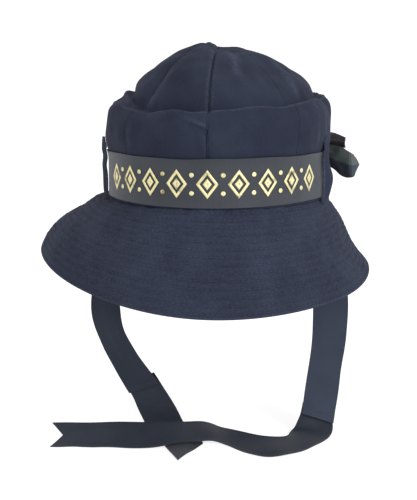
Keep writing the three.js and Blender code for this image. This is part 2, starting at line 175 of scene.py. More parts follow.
# A row for each seam, from the front round by the right: the tuck's crest as a share of the head oval,
# its height, how far below it the dome starts, the dome's foot as a share, and the brim's reach, drop,
# curl, ripple and roll.
SEAMS = np.array([
    [0.97, 60, 1.5, 0.873, 38.5, 59.6, 0.05, 0, 0],
    [0.97, 62.4, 1, 0.883, 35.4, 55.8, 0, 0.6, 0],
    [0.965, 68.8, -2.2, 0.875, 32.5, 48.5, 0, 1.2, 0],
    [0.96, 67.5, -1.5, 0.865, 36, 44, 0.06, 0.4, 0],
    [0.955, 66, 0, 0.852, 42, 39, 0.1, 0, 0],
    [0.914, 67.6, -3.4, 0.811, 47, 29, 0.22, 0, 1.5],
    [0.975, 65.6, -7, 0.752, 52, 35, 0.24, -0.6, 3],
    [0.93, 60, 0.6, 0.811, 40.5, 49.5, 0.14, -0.3, 0.6],
])
GORE_PUFFS = {
    "front_right": -0.8,
    "right_front": 0.6,
    "right_back": 2,
    "back_right": 1,
    "back_left": 4,
    "left_back": 4,
    "left_front": 3.4,
    "front_left": 5.4,
}
GORE_ANGLE = 2 * np.pi / len(GORE_PUFFS)
GORE_COLUMNS = 45
GORE_ROWS = 170
# The columns crowd towards the seams, where neighbours lap by a hair's breadth.
SEAM_CROWDING = 1.35
SEAM_LAP = 0.0003
SEAM_JOIN = 2.5
# The seams draw in, and the cloth stands up and puckers beside the front one.
SEAM_DEPTH = 0.18
FRONT_SEAM_DEPTH = 0.7
SEAM_ROLL = 1.0
FRONT_SEAM_WELT = 0.35
WELT_PLACE = 3.2
WELT_WIDTH = 2
PUCKER = 0.25
PUCKER_PITCH = 11
PUCKER_REACH = 6
PUCKER_DRIFT = 2
PUCKER_DRIFT_SIZE = 60
# The worn cloth is uneven, broadly and more finely, and the tuck has a pressed edge.
CRUMPLE = 0.8
CRUMPLE_SIZE = 40
RUMPLE = 0.26
RUMPLE_SIZE = 17
TUCK_EDGE = 0.55
TUCK_EDGE_WIDTH = 0.01
TIP_SMOOTH = 0.96
# A pinch of cloth beside the front seam, just under the tuck.
DART = {
    "depth": 1.6, "lip": 0.9, "lip_widths_up": 2, "width": 1.7,
    "angle": -0.26, "seam_z": 47, "end_z": 55, "fade_share": 0.3,
}
# A row for each crease from wear: the degrees round from the front and the share of the way up where it
# starts, the same where it stops, its half width, and how far it stands out.
CREASES = [
    (31, 0.94, 19, 0.79, 3, 1.2),
    (36, 0.93, 28, 0.76, 4, -1.2),
    (66, 0.84, 56, 0.7, 3, 1.3),
    (73, 0.82, 60, 0.69, 3, -1.2),
    (59, 0.4, 60, 0.23, 1.8, 1.2),
    (66, 0.36, 71, 0.22, 2.2, 1.2),
    (72, 0.42, 78, 0.26, 7, 0.6),
    (-50, 0.42, -66, 0.66, 1.8, -1),
    (-42, 0.34, -42, 0.23, 2, 0.6),
    (-34, 0.76, -44, 0.6, 3, 1),
    (-40, 0.76, -50, 0.6, 3, -1),
]
CREASE_TAPER = 0.15
# How much the raised edges are rubbed.
CREASE_WEAR = 0.9
TUCK_WEAR = 0.6
DART_WEAR = 0.7
DOME_SEAM_WEAR = 0.5
WALL_SEAM_WEAR = 0.15
SEAM_WEAR_PLACE = 1.6
SEAM_WEAR_WIDTH = 0.9
NAVY = "#212634"
NAVY_DARK = "#191d2b"
NAVY_WORN = "#464b5e"


def smooth_rows(table, place, closed=False):
    """Values between the rows of a table: the cubic through four rows that keeps their mean slopes."""
    count = len(table)
    row = np.floor(place).astype(int)
    if not closed:
        row = np.clip(row, 0, count - 2)
    share = (place - row).reshape(row.shape + (1,) * (table.ndim - 1))
    numbers = [(row + k) % count if closed else np.clip(row + k, 0, count - 1) for k in (-1, 0, 1, 2)]
    before, start, stop, after = (table[number] for number in numbers)
    bend = 2 * before - 5 * start + 4 * stop - after
    twist = 3 * (start - stop) + after - before
    return start + 0.5 * share * (stop - before + share * (bend + share * twist))


def seam_values(angle):
    """The columns of the seam table at an angle from the front, smooth all the way round."""
    return np.moveaxis(smooth_rows(SEAMS, angle / GORE_ANGLE % len(SEAMS), closed=True), -1, 0)


def ease(value, start, stop):
    """0 below start, 1 above stop, and the cubic 3x^2 - 2x^3 between them."""
    share = np.clip((value - start) / (stop - start), 0, 1)
    return share * share * (3 - 2 * share)


def ridge(off, width):
    """A rounded ridge, 1 at its middle: e to the minus square of the distance off over the width."""
    return np.exp(-((off / width) ** 2))


def unit(vectors):
    """Vectors scaled to length 1."""
    return vectors / np.maximum(np.linalg.norm(vectors, axis=-1, keepdims=True), 1e-9)


def oval_normal(angle):
    """The outward direction, level with the floor, at an angle round the head oval."""
    wide, long = np.sin(angle) / HEAD_HALF_WIDTH, -np.cos(angle) / HEAD_HALF_LENGTH
    return unit(np.stack([wide, long, 0 * angle], -1))


def oval_point(angle, share, grow, z):
    """The head oval scaled by a share, then grown outwards along its own normal, at a height."""
    angle, share, grow, z = np.broadcast_arrays(angle, share, grow, z)
    oval = np.stack([
        HEAD_HALF_WIDTH * share * np.sin(angle),
        -HEAD_HALF_LENGTH * share * np.cos(angle),
        z.astype(float),
    ], -1)
    return oval + grow[..., None] * oval_normal(angle)


def wall_share(z):
    """The crown's lower wall as a share of the head oval: plain, then flared out above the band."""
    return 1 + WALL_FLARE * ease(z, FLARE_START, FLARE_END)


def crown_surface(angle, up, puff):
    """The crown at each row up and angle round: a smooth curve through wall, tuck, valley, dome and tip.

    The dome is a superellipse from its foot to the top, and the gore's puff swells it between seams."""
    crest, crest_z, dip, foot = seam_values(angle)[:4]
    valley = crest_z - dip
    wall = [(wall_share(np.full_like(angle, z)), np.full_like(angle, z)) for z in WALL_HEIGHTS]
    tuck = [
        ((2 + crest) / 3 + WALL_FLARE, crest_z - TUCK_ROLL),
        (crest, crest_z),
        (crest * 0.6 + foot * 0.4, (crest_z + valley) / 2),
        (crest * 0.4 + foot * 0.6, valley),
    ]
    power = 2 / DOME_ROUNDNESS
    dome = [
        (foot * np.cos(step) ** power, valley + (CROWN_TOP - valley) * np.sin(step) ** power)
        for step in DOME_STEPS
    ]
    tip = [(np.full_like(angle, CROWN_TIP_SHARE), np.full_like(angle, CROWN_TOP))]
    stations = np.array(wall + tuck + dome + tip)
    profile = smooth_rows(np.moveaxis(stations, 1, 2), up * (len(stations) - 1))
    point = oval_point(angle[None, :], profile[..., 0], 0, profile[..., 1])
    outward = unit(point - (0, 0, DOME_CENTRE))
    swell = np.abs(np.sin(np.pi * angle / GORE_ANGLE))
    rise = ease(up, *PUFF_RISE) * (1 - ease(up, *PUFF_FALL))
    return point + outward * (puff * rise[:, None] * swell)[..., None]


def grid_normals(points):
    """Unit normals of an open grid: the slope across the columns crossed with the slope along the rows."""
    return unit(np.cross(np.gradient(points, axis=1), np.gradient(points, axis=0)))


def unevenness(points, size, seed, waves=24):
    """Soft unevenness of about a given size: the sum of plane waves in seeded directions and phases."""
    draw = np.random.default_rng(seed)
    direction = unit(draw.normal(size=(waves, 3)))
    pitch = size * draw.uniform(0.7, 1.5, (waves, 1))
    phase = draw.uniform(0, 2 * np.pi, waves)
    return np.sin(points @ (2 * np.pi * direction / pitch).T + phase).sum(-1) * np.sqrt(2 / waves)


def loop_faces(rows, loop, closed_path=False, added_rows=0):
    """The squares between rows of closed loops, as point numbers: each joins two points to the next row's.

    A closed path comes home to its first row, unless added rows continue it."""
    i = np.arange(rows if closed_path else rows - 1)[:, None]
    j = np.arange(loop)
    corners = ((0, 0), (0, 1), (1, 1), (1, 0))
    numbers = [(i + step) % (rows + added_rows) * loop + (j + side) % loop for step, side in corners]
    return np.stack(numbers, -1).reshape(-1, 4)


def place_piece(name, mesh, finish):
    """Puts a finished mesh on the cap in its material."""
    mesh.materials.append(finish)
    piece = bpy.data.objects.new(name, mesh)
    bpy.context.collection.objects.link(piece)
    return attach(piece, "root")


def cloth_piece(name, points, weave, finish, closed_path=False, wear_and_painted_light=None):
    """A cloth wall in metres from rows of points in millimetres, shaded smooth.

    Each row is a closed loop round the wall's section, one face out and the other back, and the rows
    carry it along. An open path gets a cap at each end. weave holds the flat cloth's millimetres, with
    one row more where the path is closed. A mesh that comes out inside out is turned round."""
    rows, loop = points.shape[:2]
    faces = loop_faces(rows, loop, closed_path)
    flat = loop_faces(rows, loop, closed_path, added_rows=1)
    if not closed_path:
        k = np.arange(loop // 2 - 1)
        cap = np.stack([k, k + 1, loop - 2 - k, loop - 1 - k], -1)
        caps = np.concatenate([cap[:, ::-1], cap + (rows - 1) * loop])
        faces = np.concatenate([faces, caps])
        flat = np.concatenate([flat, caps])
    place = points.reshape(-1, 3) * MM
    a, b, c, d = (place[faces[:, k]] for k in range(4))
    if np.sum(np.cross(b - a, c - a) * a) + np.sum(np.cross(c - a, d - a) * a) < 0:
        faces, flat = faces[:, ::-1], flat[:, ::-1]
    mesh = bpy.data.meshes.new(name)
    mesh.vertices.add(len(place))
    mesh.vertices.foreach_set("co", place.ravel())
    mesh.loops.add(faces.size)
    mesh.loops.foreach_set("vertex_index", faces.ravel().astype(np.int32))
    mesh.polygons.add(len(faces))
    mesh.polygons.foreach_set("loop_start", np.arange(0, faces.size, 4, dtype=np.int32))
    mesh.polygons.foreach_set("use_smooth", np.ones(len(faces), bool))
    layer = mesh.uv_layers.new(name="weave")
    layer.data.foreach_set("uv", (weave.reshape(-1, 2)[flat.ravel()] * MM).ravel())
    paling = np.zeros(len(place)) if wear_and_painted_light is None else wear_and_painted_light.ravel()
    mesh.attributes.new("wear_and_painted_light", "FLOAT", "POINT").data.foreach_set("value", paling)
    mesh.update()
    mesh.validate()
    mesh.set_sharp_from_angle(angle=SHARP_EDGE)
    return place_piece(name, mesh, finish)


def loop_of(front, back):
    """Rows of section loops from two grids: out along the front's columns and home along the back's."""
    return np.concatenate([front, back[:, ::-1]], 1)


def lengths_along(points, axis):
    """The distance walked along one axis of a grid, from its first point."""
    steps = np.linalg.norm(np.diff(points, axis=axis), axis=-1)
    start = np.zeros_like(np.take(steps, [0], axis))
    return np.concatenate([start, np.cumsum(steps, axis)], axis)


# Navy wool gaberdine: steep fine twill, matt with a faint bloom of raised fibre, paler where it is rubbed.
# Its real twill of about 0.5 mm is drawn at 1.1 mm, because the finer one would not show.
TWILL_PITCH = 1.1 * MM
LINT_SIZE = 1.3 * MM
FADE_SIZE = 28 * MM


def reckon(material, operation, *values):
    """The result of one math node on sockets or plain values."""
    inputs = dict(enumerate(values))
    return add_node(material, "ShaderNodeMath", {"operation": operation}, inputs).outputs[0]


def mottle(material, size, detail):
    """Noise through the whole cap, in lumps of about a given size."""
    solid = add_node(material, "ShaderNodeTexCoord").outputs["Object"]
    return add_node(
        material, "ShaderNodeTexNoise", inputs={"Vector": solid, "Scale": 1 / size, "Detail": detail}
    ).outputs["Fac"]


def tint(material, value, low, high, first, second):
    """The first colour where a value is low, the second where it is high, and their mixture between."""
    share = add_node(
        material, "ShaderNodeMapRange", inputs={"Value": value, "From Min": low, "From Max": high}
    ).outputs["Result"]
    return add_node(
        material, "ShaderNodeMix", {"data_type": "RGBA"}, {0: share, 6: linear(first), 7: linear(second)}
    ).outputs[2]


def dress(material, shader, colour, relief, strength, depth):
    """Leads a colour to a material's shader, and a relief of some depth to its normals."""
    bump = add_node(
        material, "ShaderNodeBump", inputs={"Height": relief, "Strength": strength, "Distance": depth}
    ).outputs["Normal"]
    material.node_tree.links.new(colour, shader.inputs["Base Color"])
    material.node_tree.links.new(bump, shader.inputs["Normal"])


def gaberdine(name, cloth, dark, paling):
    """Twill waves on the flat cloth tint and raise it, noise fades and specks it, and a per-point share
    pales it: real wear, and on the brim less in the grooves as painted shade.
    """
    material, shader = new_material(
        name, Roughness=0.9, Specular_IOR_Level=0.12, Sheen_Weight=0.1, Sheen_Roughness=0.5
    )
    shader.inputs["Sheen Tint"].default_value = linear(paling)
    flat = add_node(material, "ShaderNodeUVMap", {"uv_map": "weave"}).outputs["UV"]
    twill = add_node(
        material, "ShaderNodeTexWave", {"bands_direction": "DIAGONAL"},
        {"Vector": flat, "Scale": np.pi / 5 / (TWILL_PITCH * np.sqrt(2)), "Distortion": 1.5,
         "Detail": 2, "Detail Scale": 1.5},
    ).outputs["Fac"]
    fade = mottle(material, FADE_SIZE, detail=4)
    lint = mottle(material, LINT_SIZE, detail=6)
    rubbed_and_shaded = add_node(material, "ShaderNodeAttribute", {"attribute_name": "wear_and_painted_light"}).outputs["Fac"]
    body = tint(material, fade, 0.4, 0.6, dark, cloth)
    threads = add_node(
        material, "ShaderNodeMapRange", inputs={"Value": twill, "To Min": 0.0, "To Max": 0.1}
    ).outputs["Result"]
    lifted = add_node(
        material, "ShaderNodeMix", {"data_type": "RGBA"}, {0: threads, 6: body, 7: linear(paling)}
    ).outputs[2]
    nap = add_node(
        material, "ShaderNodeMapRange", inputs={"Value": lint, "From Min": 0.3, "From Max": 0.9}
    ).outputs["Result"]
    specked = reckon(material, "MULTIPLY_ADD", nap, 0.1, reckon(material, "MULTIPLY", rubbed_and_shaded, nap))
    colour = add_node(
        material, "ShaderNodeMix", {"data_type": "RGBA", "clamp_factor": True},
        {0: specked, 6: lifted, 7: linear(paling)},
    ).outputs[2]
    relief = reckon(material, "MULTIPLY_ADD", lint, 0.8, twill)
    dress(material, shader, colour, relief, 0.4, 0.25 * MM)
    return material


navy_gaberdine = gaberdine("navy_wool_gaberdine", NAVY, NAVY_DARK, NAVY_WORN)

gore_up = np.linspace(0, 1, GORE_ROWS)
gore_across = np.linspace(-1, 1, GORE_COLUMNS)
gore_across = np.sign(gore_across) * (1 - (1 - np.abs(gore_across)) ** SEAM_CROWDING)
for number, (name, puff) in enumerate(GORE_PUFFS.items()):
    middle = (number + 0.5) * GORE_ANGLE
    angle = middle + gore_across * (GORE_ANGLE / 2 + SEAM_LAP)
    base = crown_surface(angle, gore_up, puff)
    across_length = lengths_along(base, 1)
    from_start, from_stop = across_length, across_length[:, -1:] - across_length
    to_seam = np.minimum(from_start, from_stop)
    outward = grid_normals(base)
    sideways = np.cross((0, 0, 1), oval_normal(angle))
    sidestep = (outward * sideways).sum(-1) * ridge(to_seam, SEAM_JOIN)
    outward = unit(outward - sidestep[..., None] * sideways)
    up_length = lengths_along(base, 0)
    height = base[..., 2]
    off_band = ease(height, BAND_TOP, BAND_TOP + FOLDS_START)
    past_crest = gore_up[:, None] - CREST_UP
    tuck_edge = ridge(past_crest, TUCK_EDGE_WIDTH)
    turn = np.broadcast_to((angle + np.pi) % (2 * np.pi) - np.pi, height.shape)
    to_front_seam = np.where(np.abs(turn) < GORE_ANGLE, np.where(turn > 0, from_start, from_stop), np.inf)
    dart_share = np.clip(turn / DART["angle"], 0, 1)
    dart_z = DART["seam_z"] + (DART["end_z"] - DART["seam_z"]) * dart_share
    dart_here = (turn < 0) * (1 - ease(dart_share, DART["fade_share"], 1)) * (past_crest < 0)
    dart_off = (height - dart_z) / DART["width"]
    dart_lip = DART["lip"] * ridge(dart_off - DART["lip_widths_up"], 1)
    dart = dart_here * (dart_lip - DART["depth"] * ridge(dart_off, 1))
    drift = PUCKER_DRIFT * unevenness(base, PUCKER_DRIFT_SIZE, seed=number)
    seam_waves = np.sin(2 * np.pi * up_length / PUCKER_PITCH + drift)
    push = (
        -SEAM_DEPTH * ridge(to_seam, SEAM_ROLL)
        - FRONT_SEAM_DEPTH * ridge(to_front_seam, SEAM_ROLL)
        + FRONT_SEAM_WELT * off_band * ridge(to_front_seam - WELT_PLACE, WELT_WIDTH)
        + PUCKER * off_band * seam_waves * np.exp(-to_front_seam / PUCKER_REACH)
        + CRUMPLE * off_band * unevenness(base, CRUMPLE_SIZE, seed=11)
        + RUMPLE * off_band * unevenness(base, RUMPLE_SIZE, seed=12)
        + TUCK_EDGE * tuck_edge
        + dart
    )
    seam_wear = np.where(past_crest > 0, DOME_SEAM_WEAR, WALL_SEAM_WEAR) * off_band
    seam_wear = seam_wear * ridge(to_front_seam - SEAM_WEAR_PLACE, SEAM_WEAR_WIDTH)
    paling = np.maximum(np.maximum(TUCK_WEAR * tuck_edge, seam_wear), DART_WEAR * dart)
    for start_turn, start_up, stop_turn, stop_up, width, rise in CREASES:
        start, stop = (
            crown_surface(np.array([np.radians(degrees)]), np.array([share]), 0)[0, 0]
            for degrees, share in ((start_turn, start_up), (stop_turn, stop_up))
        )
        line = stop - start
        along = np.clip((base - start) @ line / (line @ line), 0, 1)
        off = np.linalg.norm(base - start - along[..., None] * line, axis=-1)
        taper = np.sin(np.pi * (CREASE_TAPER + (1 - 2 * CREASE_TAPER) * along))
        fold = rise * taper * ridge(off, width)
        push = push + fold
        paling = np.maximum(paling, CREASE_WEAR * fold)
    tip_fade = 1 - ease(gore_up, TIP_SMOOTH, 1)[:, None]
    outer = base + outward * (push * tip_fade)[..., None]
    inner = base - outward * CROWN_CLOTH
    weave = np.stack([across_length - across_length[:, -1:] / 2, up_length], -1)
    gore = cloth_piece(
        "crown_" + name, loop_of(outer, inner), loop_of(weave, weave), navy_gaberdine,
        wear_and_painted_light=loop_of(paling[..., None], 0 * paling[..., None]),
    )
    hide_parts("crown_gore_" + name)

# The brim: two layers of the gaberdine, cut as a ring and sewn together by rings of stitching.
# The cloth puffs between the rings, and the edge is turned in and rounded.
SEAM_GAP = 0.3
BRIM_CLOTH = 2.4
BRIM_ROLL_END = 0.36
STITCH_RINGS = 14
BRIM_PUFF = 0.4
PUFF_FLATNESS = 0.6
BRIM_COLUMNS_PER_RING = 7
BRIM_STEPS_ROUND = 480
BRIM_EDGE_STEPS = 7
BRIM_EDGE_ROUND = 1.2
BRIM_FACE_SHARE = 0.985
DRAG = 0.16
DRAG_SIZE = 9
DRAG_FADE = (0.85, 0.97)
# The brim's face pales less in the grooves than on the puffs: painted shade in the grooves, over real wear
# that is strongest on the edge.
GROOVE_DEPTH = 0.3
GROOVE_SHADED_WEAR = 0.15
PUFF_WEAR = 0.3
EDGE_WEAR = 0.5


def brim_top(angle, out):
    """The brim's smooth top at each angle and share out: a cone that arches, waves and swells.

    The curl arches it, the ripple is a full sine wave, and the roll lifts it near the seam by a cosine."""
    reach, drop, curl, ripple, roll = (column[:, None] for column in seam_values(angle)[4:])
    arch = 2 * curl * out * (1 - out)
    wave = ripple * np.sin(2 * np.pi * out)
    swell = roll * (1 - np.cos(2 * np.pi * np.minimum(out / BRIM_ROLL_END, 1))) / 2
    z = wave + swell - SEAM_GAP - drop * (out - arch)
    return oval_point(angle[:, None], 1, reach * (out + arch) + wave, z)


def brim_puff(out):
    """How far the rings of stitching draw the cloth down: a flattened cosine, deepest at each ring."""
    return BRIM_PUFF * (np.abs(np.cos(np.pi * STITCH_RINGS * out)) ** PUFF_FLATNESS - 1)


def ring_normals(points):
    """Unit normals of a grid whose rows go round a ring: the slope out crossed with the slope round."""
    round_slope = np.roll(points, -1, 0) - np.roll(points, 1, 0)
    return unit(np.cross(np.gradient(points, axis=1), round_slope))


brim_angle = np.linspace(0, 2 * np.pi, BRIM_STEPS_ROUND, endpoint=False)
brim_out = np.linspace(0, BRIM_FACE_SHARE, STITCH_RINGS * BRIM_COLUMNS_PER_RING + 1)
brim_base = brim_top(brim_angle, brim_out)
brim_up = ring_normals(brim_base)
drag = DRAG * unevenness(brim_base, DRAG_SIZE, seed=21) * (1 - ease(brim_out, *DRAG_FADE))
stand = (brim_puff(brim_out) + drag)[..., None]
brim_face = brim_base + brim_up * stand
brim_under = brim_base - brim_up * (BRIM_CLOTH + stand)
edge_middle = (brim_face[:, -1:] + brim_under[:, -1:]) / 2
edge_half = (brim_face[:, -1:] - brim_under[:, -1:]) / 2
edge_out = BRIM_EDGE_ROUND * unit(brim_base[:, -1:] - brim_base[:, -2:-1])
edge_turn = np.linspace(0, np.pi, BRIM_EDGE_STEPS + 2)[None, 1:-1, None]
brim_edge = edge_middle + edge_half * np.cos(edge_turn) + edge_out * np.sin(edge_turn)
collar = oval_point(brim_angle[:, None], 1, -CROWN_CLOTH, -SEAM_GAP)
brim_loop = np.concatenate([collar, brim_face, brim_edge, brim_under[:, ::-1]], 1)
# Painted shade: each groove is paled less than the puffs beside it.
wear_and_groove_shade = GROOVE_SHADED_WEAR + (PUFF_WEAR - GROOVE_SHADED_WEAR) * ease(brim_puff(brim_out), -GROOVE_DEPTH, 0)
brim_wear_and_shade = np.concatenate([
    0 * collar[..., 0],
    np.broadcast_to(wear_and_groove_shade, brim_face.shape[:2]),
    np.full(brim_edge.shape[:2], EDGE_WEAR),
    np.zeros(brim_under.shape[:2]),
], 1)
brim_across = lengths_along(brim_loop[:1], 1)
brim_round = brim_angle * HEAD_HALF_LENGTH
brim_round = np.append(brim_round, 2 * np.pi * HEAD_HALF_LENGTH)
brim_weave = np.stack(np.broadcast_arrays(brim_round[:, None], brim_across), -1)
brim = cloth_piece("brim_cloth", brim_loop, brim_weave, navy_gaberdine, closed_path=True, wear_and_painted_light=brim_wear_and_shade)
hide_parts("brim")

# The brim's stitching: fourteen rings of navy cotton thread, sewn by machine through all the layers.
# Each stitch lies in the groove that it pulls, and shows on the top and on the underside.
STITCH_PITCH = 3.2
STITCH_LENGTH = 2.5
STITCH_RADIUS = 0.26
STITCH_SIDES = 4
STITCH_STAGGER = 0.37
STITCH_STAND = 0.2
RING_STEPS = 1441
SLOPE_STEP = 0.004
STITCH_PLACES = np.array([-0.5, -0.3, 0, 0.3, 0.5])
STITCH_SWELL = np.array([0.35, 0.9, 1, 0.9, 0.35])
STITCH_RISE = np.array([-0.8, 0.1, 0.35, 0.1, -0.8])
THREAD = "#464b5c"


def thread_piece(name, shapes, faces, finish):
    """Many like shapes as one smooth mesh: one shape's faces, counted on from each one's first point."""
    first = np.arange(len(shapes)) * (shapes[0].size // 3)
    every = (first[:, None, None] + faces).reshape(-1, 4)
    mesh = bpy.data.meshes.new(name)
    mesh.from_pydata((shapes.reshape(-1, 3) * MM).tolist(), [], every.tolist())
    mesh.polygons.foreach_set("use_smooth", np.ones(len(every), bool))
    return place_piece(name, mesh, finish)


def stitch_piece(name, middle, along, up, finish):
    """Stitches, each a thin spindle that dips into the cloth at both ends.

    A four-sided ring at five places along each stitch swells and rises towards its middle."""
    along = unit(along)
    side = np.cross(along, up)
    turn = np.linspace(0, 2 * np.pi, STITCH_SIDES, endpoint=False)
    spine = (
        middle[:, None] + along[:, None] * (STITCH_PLACES * STITCH_LENGTH)[:, None]
        + up[:, None] * (STITCH_RISE * STITCH_RADIUS)[:, None]
    )
    ring = np.cos(turn)[:, None] * side[:, None] + np.sin(turn)[:, None] * up[:, None]
    stitches = spine[:, :, None] + ring[:, None] * (STITCH_SWELL * STITCH_RADIUS)[:, None, None]
    places = len(STITCH_PLACES)
    end = np.arange(STITCH_SIDES)[None]
    faces = [loop_faces(places, STITCH_SIDES), end[:, ::-1], end + (places - 1) * STITCH_SIDES]
    return thread_piece(name, stitches, np.concatenate(faces), finish)


# Cotton sewing thread: dull, as dark as the cloth where it is fresh, and paler where it has faded.
sewing_thread, thread_shader = new_material("navy_cotton_thread", Roughness=0.9, Specular_IOR_Level=0.1)
thread_colour = tint(sewing_thread, mottle(sewing_thread, FADE_SIZE, detail=3), 0, 1, NAVY, THREAD)
sewing_thread.node_tree.links.new(thread_colour, thread_shader.inputs["Base Color"])

ring_shares = (np.arange(STITCH_RINGS) + 0.5) / STITCH_RINGS
fine_angle = np.linspace(0, 2 * np.pi, RING_STEPS)
ring_lines = brim_top(fine_angle, ring_shares)
ring_lengths = lengths_along(ring_lines, 0)
stitch_angle = []
stitch_share = []
for ring in range(STITCH_RINGS):
    count = int(ring_lengths[-1, ring] / STITCH_PITCH)
    place = (np.arange(count) + STITCH_STAGGER * ring) / count * ring_lengths[-1, ring]
    stitch_angle.append(np.interp(place % ring_lengths[-1, ring], ring_lengths[:, ring], fine_angle))
    stitch_share.append(np.full(count, ring_shares[ring]))
stitch_angle = np.concatenate(stitch_angle)
stitch_share = np.concatenate(stitch_share)
around_stitch = [
    brim_top(stitch_angle + turn, np.zeros(1) + stitch_share[:, None] + out)[:, 0]
    for turn, out in ((0, 0), (SLOPE_STEP, 0), (-SLOPE_STEP, 0), (0, SLOPE_STEP), (0, -SLOPE_STEP))
]
stitch_middle, ahead, behind, outer_side, inner_side = around_stitch
stitch_along = ahead - behind
stitch_up = unit(np.cross(outer_side - inner_side, stitch_along))
stitch_lift = STITCH_STAND - BRIM_PUFF
for name, lift, face in (
    ("brim_stitches_top", stitch_lift, 1), ("brim_stitches_under", -BRIM_CLOTH - stitch_lift, -1)
):
    lifted = stitch_middle + stitch_up * lift
    rings = stitch_piece(name, lifted, stitch_along, stitch_up * face, sewing_thread)

# The band: one turn of 30 mm ribbed silk ribbon round the foot of the crown, tied in the bow.
# It is held only by the carriers, so it lies a little uneven against the wall.
BAND_BOTTOM = 0.8
BAND_WIDTH = 30
BAND_RISE = 1.8
BAND_STAND_OFF = 0.5
BAND_SILK_THICKNESS = 0.7
BAND_STEPS_ROUND = 360
BAND_STEPS_UP = 13
BAND_SLACK = 0.3
SLACK_WAVES = 7
SLACK_SLANT = 3
# The top edge wanders by waves, each with a height, a count round the band and a phase.
EDGE_WAVES = ((0.25, 5, 0), (0.15, 13, 1))
SELVEDGE_RISE = 0.15
SELVEDGE_WIDTH = 0.8
SILK = {"colour": "#2f343b", "dark": "#24282e", "painted_light": "#43474b"}


def band_point(angle, z, lift):
    """A point over the band's outer face: on the crown's wall, the ribbon's thickness out and lifted.

    The band rides up at the sides by the square of the angle's sine."""
    z = z + BAND_RISE * np.sin(angle) ** 2
    return oval_point(angle, wall_share(z), BAND_STAND_OFF + BAND_SILK_THICKNESS + lift, z)


# Ribbed silk: fine cords from edge to edge, with a soft gloss that the ribs break up, dull with age.
# Its real cords of about 0.4 mm are drawn at 0.9 mm so that they show.
RIB_PITCH = 0.9 * MM
SILK_FADE_SIZE = 18 * MM


def ribbed_silk(name, roughness, rib_pitch, colour, dark, painted_light):
    """Rib waves along the flat ribbon tint and raise it, noise mottles it, and a per-point share mixes in
    the paler colour, which on the bow is painted light.
    """
    material, shader = new_material(
        name, Roughness=roughness, Specular_IOR_Level=0.3, Sheen_Weight=0.1, Sheen_Roughness=0.4
    )
    flat = add_node(material, "ShaderNodeUVMap", {"uv_map": "weave"}).outputs["UV"]
    ribs = add_node(
        material, "ShaderNodeTexWave", {"bands_direction": "Y"},
        {"Vector": flat, "Scale": np.pi / 10 / rib_pitch, "Distortion": 0.6, "Detail": 1},
    ).outputs["Fac"]
    blend = reckon(material, "MULTIPLY_ADD", ribs, 0.35, mottle(material, SILK_FADE_SIZE, detail=5))
    tone = tint(material, blend, 0.35, 1, dark, colour)
    painted_light_share = add_node(material, "ShaderNodeAttribute", {"attribute_name": "wear_and_painted_light"}).outputs["Fac"]
    shown = add_node(
        material, "ShaderNodeMix", {"data_type": "RGBA"}, {0: painted_light_share, 6: tone, 7: linear(painted_light)}
    ).outputs[2]
    dress(material, shader, shown, ribs, 0.5, 0.2 * MM)
    return material


band_silk = ribbed_silk("ribbed_black_silk", 0.55, RIB_PITCH, **SILK)

band_angle = np.linspace(0, 2 * np.pi, BAND_STEPS_ROUND, endpoint=False)[:, None]
band_up = np.linspace(0, 1, BAND_STEPS_UP)
edge_wander = sum(high * np.sin(count * band_angle + phase) for high, count, phase in EDGE_WAVES)
band_z = BAND_BOTTOM + band_up * (BAND_WIDTH + edge_wander)
band_slack = BAND_SLACK * (1 + np.sin(SLACK_WAVES * band_angle + SLACK_SLANT * band_up)) / 2
band_selvedge = SELVEDGE_RISE * ridge((0.5 - np.abs(band_up - 0.5)) * BAND_WIDTH, SELVEDGE_WIDTH)
band_outer = band_point(band_angle, band_z, band_slack + band_selvedge)
band_inner = band_point(band_angle, band_z, band_slack - BAND_SILK_THICKNESS - band_selvedge)
band_round = np.append(band_angle[:, 0], 2 * np.pi) * HEAD_HALF_LENGTH
band_weave = np.stack(np.broadcast_arrays(band_up * BAND_WIDTH, band_round[:, None]), -1)
band = cloth_piece(
    "band_silk_ribbon", loop_of(band_outer, band_inner), loop_of(band_weave, band_weave), band_silk,
    closed_path=True,
)
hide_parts("band_ribbon")

# The band's ornament: a plain row of lozenges and dots woven across the front in flat gilt thread.
# The thread stands a little proud of the silk, and its gilding is rubbed in places.
LOZENGES = 9
LOZENGE_PITCH = 19.5
LOZENGE_HALF_WIDTH = 7
LOZENGE_HALF_HEIGHT = 9
LOZENGE_HOLE = 0.66
HEART_SHARE = 0.4
DOT_RADIUS = 1.5
DOT_RISE = 5.6
ORNAMENT_Z = 15.5
GILT_RISE = 0.28
GILT_STEPS = 64
GILT_EDGE = 0.03
GILT_LIFTS = np.array([-0.3, 0.75, 1, 0.75, -0.3])
FRONT_STEPS = 721
GILT = "#d8cf9f"
GILT_RUBBED = "#8a8059"
POINT_SIZE = 0.05


def gilt_ring(arc, z, half_width, half_height, hole, roundness):
    """A flat ring of thread on the band: a superellipse round a hole, with a low rounded section.

    Its place runs along the band from the front; roundness 1 is a lozenge and 2 a round."""
    turn = np.linspace(0, 2 * np.pi, GILT_STEPS, endpoint=False)[:, None]
    power = 2 / roundness
    wide = np.sign(np.cos(turn)) * np.abs(np.cos(turn)) ** power
    high = np.sign(np.sin(turn)) * np.abs(np.sin(turn)) ** power
    outwards = np.array([1, 1 - GILT_EDGE, 0.5 + hole / 2, hole + GILT_EDGE, hole])
    lift = GILT_LIFTS * GILT_RISE + BAND_SLACK
    along = np.interp(arc + half_width * wide * outwards, front_arc, front_angle)
    return band_point(along, z + half_height * high * outwards, lift)


front_angle = np.linspace(-np.pi / 2, np.pi / 2, FRONT_STEPS)
front_line = band_point(front_angle, np.full_like(front_angle, ORNAMENT_Z), np.zeros_like(front_angle))
front_arc = lengths_along(front_line, 0)
front_arc = front_arc - front_arc[len(front_arc) // 2]

